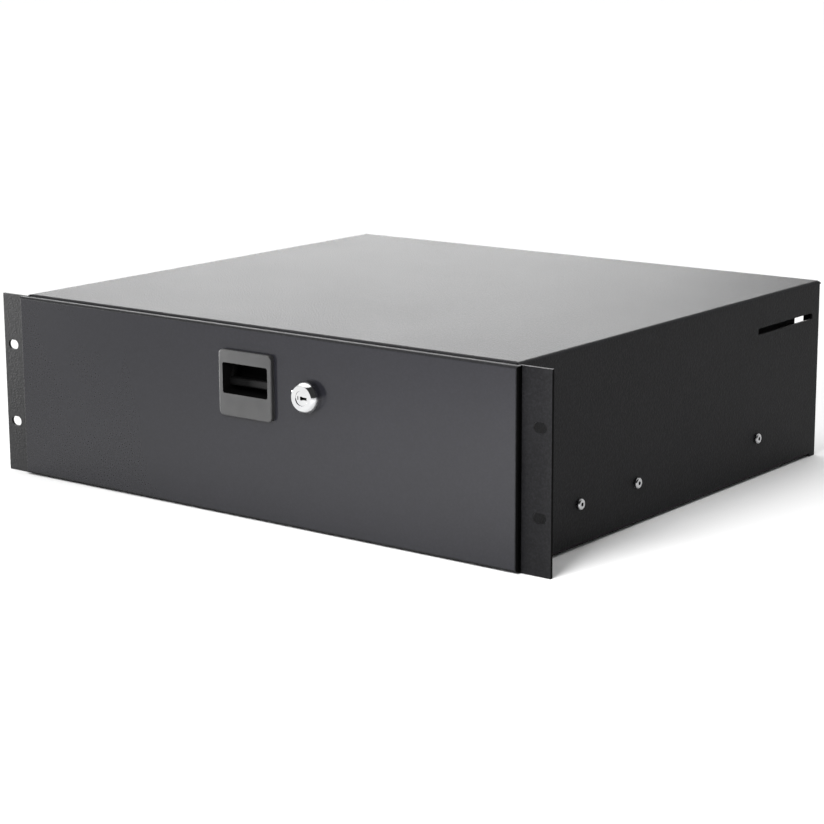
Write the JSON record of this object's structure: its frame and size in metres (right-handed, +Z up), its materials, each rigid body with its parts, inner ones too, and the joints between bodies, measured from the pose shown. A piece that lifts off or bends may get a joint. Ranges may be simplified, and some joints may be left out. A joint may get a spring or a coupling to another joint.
{
  "type": "sliding rack drawer",
  "caption": "Rack-mount drawer: folded steel case with slotted ears, tray on ball-bearing runners, recessed slam-latch pull and cam lock on a plain front.",
  "frame": {"origin": "centre of the four ear slots, on the rear face of the ears that bears on the rack's front rails", "axes": "+X to the right seen from the front, +Y from the front to the rear of the rack, +Z up"},
  "size_m": [0.4826, 0.4072, 0.1332],
  "materials": {
    "case_powder": "black textured powder coat on folded steel",
    "front_powder": "black satin powder coat on folded steel",
    "tray_powder": "black textured powder coat on folded steel",
    "runner_zinc": "bright zinc-plated cold-rolled steel",
    "zinc": "bright zinc plate",
    "bearing_steel": "polished steel",
    "black_plastic": "black ABS with fine moulded grain",
    "lock_chrome": "chrome-plated zinc casting"
  },
  "bodies": {
    "case": {"case_shell": "case_powder", "bottom_rail_front": "case_powder", "bottom_rail_rear": "case_powder", "strike_plate": "case_powder", "runner_outer_left": "runner_zinc", "runner_outer_right": "runner_zinc", "case_screws_left": "zinc", "case_screws_right": "zinc"},
    "drawer": {"drawer_tray": "tray_powder", "drawer_front": "front_powder", "front_studs": "zinc", "front_nuts": "zinc", "latch_bezel": "black_plastic", "latch_bracket": "zinc", "latch_screws": "zinc", "latch_pin": "bearing_steel", "pin_clip": "bearing_steel", "latch_spring": "bearing_steel", "lock_barrel": "lock_chrome", "lock_nut": "zinc", "runner_inner_left": "runner_zinc", "runner_inner_right": "runner_zinc", "tray_screws_left": "zinc", "tray_screws_right": "zinc"},
    "runner_middles": {"runner_middle_left": "runner_zinc", "runner_middle_right": "runner_zinc"},
    "outer_ball_cages": {"outer_cages": "zinc", "outer_balls": "bearing_steel"},
    "inner_ball_cages": {"inner_cages": "zinc", "inner_balls": "bearing_steel"},
    "latch_lever": {"latch_lever": "black_plastic"},
    "lock_core": {"lock_plug": "lock_chrome", "lock_cam": "zinc", "cam_screw": "zinc"}
  },
  "joints": [
    {"name": "drawer_slide", "type": "slide", "parent": "case", "child": "drawer", "axis": [0, -1, 0], "range_m": [0, 0.35]},
    {"name": "middle_slide", "type": "slide", "parent": "case", "child": "runner_middles", "axis": [0, -1, 0], "range_m": [0, 0.175]},
    {"name": "outer_cage_slide", "type": "slide", "parent": "case", "child": "outer_ball_cages", "axis": [0, -1, 0], "range_m": [0, 0.0875]},
    {"name": "inner_cage_slide", "type": "slide", "parent": "case", "child": "inner_ball_cages", "axis": [0, -1, 0], "range_m": [0, 0.2625]},
    {"name": "latch_pull", "type": "hinge", "parent": "drawer", "child": "latch_lever", "pos_m": [0, 0.0045, 0.052], "axis": [-1, 0, 0], "range_deg": [0, 20], "stiffness_Nm_per_rad": 0.12, "springref_deg": -22.92, "deforming": ["latch_spring"]},
    {"name": "lock_turn", "type": "hinge", "parent": "drawer", "child": "lock_core", "pos_m": [0.0531, 0, 0.0264], "axis": [0, -1, 0], "range_deg": [0, 90]}
  ],
  "couplings": [
    {"joint": "middle_slide", "follows": "drawer_slide", "ratio": 0.5},
    {"joint": "outer_cage_slide", "follows": "drawer_slide", "ratio": 0.25},
    {"joint": "inner_cage_slide", "follows": "drawer_slide", "ratio": 0.75}
  ]
}
